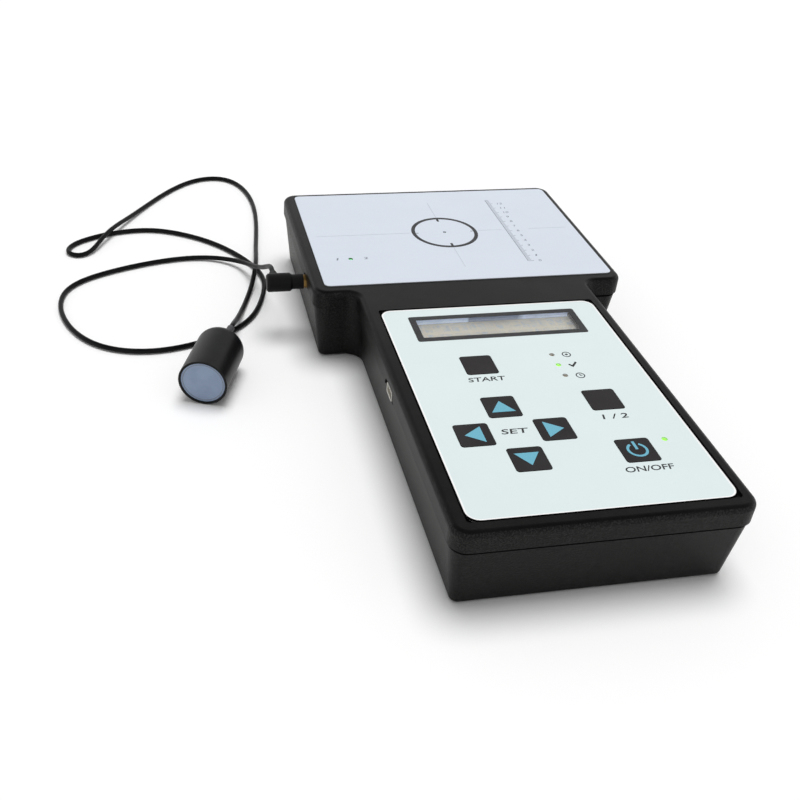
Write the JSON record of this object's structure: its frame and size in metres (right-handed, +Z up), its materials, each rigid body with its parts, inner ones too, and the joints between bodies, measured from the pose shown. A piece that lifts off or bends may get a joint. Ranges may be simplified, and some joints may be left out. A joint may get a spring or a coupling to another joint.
{
  "type": "coin and bar tester",
  "caption": "Counter-top metal tester: T-shaped case with keypad and display, flat coin target over a coil, and a small corded probe.",
  "frame": {"origin": "middle of the case's footprint on the table", "axes": "+Z up; +Y from the keypad end to the coin target; +X to the right of someone facing the keypad"},
  "size_m": [0.2425, 0.3428, 0.0328],
  "materials": {
    "case_plastic": "black moulded ABS with a fine grain",
    "keypad_film": "pale printed polyester film, satin",
    "target_film": "pale blue-grey printed polyester film, satin",
    "window_clear": "clear acrylic with a dark ledge behind it",
    "display_metal": "black lacquered sheet steel",
    "display_glass": "grey-green liquid crystal glass",
    "display_light": "milky light guide",
    "key_plastic": "charcoal key cap",
    "switch_plastic": "black glass-filled nylon",
    "plunger_plastic": "natural nylon",
    "lamp_clear": "clear light guide, lit yellow-green or pale",
    "chip_epoxy": "black moulded epoxy",
    "board_laminate": "green solder mask on glass-epoxy laminate",
    "screw_steel": "zinc-plated steel",
    "cell_wrap": "green shrink film",
    "socket_steel": "nickel-plated steel",
    "coil_plastic": "natural nylon",
    "coil_copper": "enamelled copper wire",
    "ferrite": "dark sintered ferrite",
    "ribbon_pvc": "grey flat cable",
    "brass": "turned brass, satin",
    "plug_plastic": "black moulded plug grip",
    "cable_jacket": "black PVC jacket",
    "probe_plastic": "black satin acetal",
    "probe_film": "pale blue printed film",
    "relief_rubber": "dark grey rubber sleeve",
    "print_ink": "near-black screen print on the overlays",
    "print_blue": "light blue screen print on the keys"
  },
  "bodies": {
    "tester": {"upper_case": "case_plastic", "lower_case": "case_plastic", "case_screws": "screw_steel", "keypad_overlay": "keypad_film", "head_overlay": "target_film", "display_window": "window_clear", "display_frame": "display_metal", "display_glass": "display_glass", "display_backlight": "display_light", "display_board": "board_laminate", "display_header": "switch_plastic", "switch_bodies": "switch_plastic", "measure_lamp": "lamp_clear", "ready_lamp": "lamp_clear", "wait_lamp": "lamp_clear", "power_lamp": "lamp_clear", "head_lamp": "lamp_clear", "lamp_chips": "chip_epoxy", "main_board": "board_laminate", "board_chips": "chip_epoxy", "board_screws": "screw_steel", "battery_tray": "switch_plastic", "battery_cells": "cell_wrap", "usb_socket": "socket_steel", "usb_tongue": "switch_plastic", "sensor_board": "board_laminate", "coil_former": "coil_plastic", "coil_winding": "coil_copper", "coil_core": "ferrite", "ribbon_cable": "ribbon_pvc", "jack_body": "switch_plastic", "jack_bushing": "brass", "plug_body": "plug_plastic", "plug_pin": "brass", "probe_cable": "cable_jacket", "probe_shell": "probe_plastic", "probe_face": "probe_film", "probe_former": "coil_plastic", "probe_winding": "coil_copper", "probe_core": "ferrite", "probe_relief": "relief_rubber"},
    "run_button": {"run_key": "key_plastic", "run_plunger": "plunger_plastic"},
    "up_button": {"up_key": "key_plastic", "up_plunger": "plunger_plastic"},
    "left_button": {"left_key": "key_plastic", "left_plunger": "plunger_plastic"},
    "right_button": {"right_key": "key_plastic", "right_plunger": "plunger_plastic"},
    "down_button": {"down_key": "key_plastic", "down_plunger": "plunger_plastic"},
    "sensor_button": {"sensor_key": "key_plastic", "sensor_plunger": "plunger_plastic"},
    "power_button": {"power_key": "key_plastic", "power_plunger": "plunger_plastic"}
  },
  "joints": [
    {"name": "run_press", "type": "slide", "parent": "tester", "child": "run_button", "axis": [0, 0, -1], "range_m": [0, 0.0005], "stiffness_N_per_m": 1500},
    {"name": "up_press", "type": "slide", "parent": "tester", "child": "up_button", "axis": [0, 0, -1], "range_m": [0, 0.0005], "stiffness_N_per_m": 1500},
    {"name": "left_press", "type": "slide", "parent": "tester", "child": "left_button", "axis": [0, 0, -1], "range_m": [0, 0.0005], "stiffness_N_per_m": 1500},
    {"name": "right_press", "type": "slide", "parent": "tester", "child": "right_button", "axis": [0, 0, -1], "range_m": [0, 0.0005], "stiffness_N_per_m": 1500},
    {"name": "down_press", "type": "slide", "parent": "tester", "child": "down_button", "axis": [0, 0, -1], "range_m": [0, 0.0005], "stiffness_N_per_m": 1500},
    {"name": "sensor_press", "type": "slide", "parent": "tester", "child": "sensor_button", "axis": [0, 0, -1], "range_m": [0, 0.0005], "stiffness_N_per_m": 1500},
    {"name": "power_press", "type": "slide", "parent": "tester", "child": "power_button", "axis": [0, 0, -1], "range_m": [0, 0.0005], "stiffness_N_per_m": 1500}
  ]
}
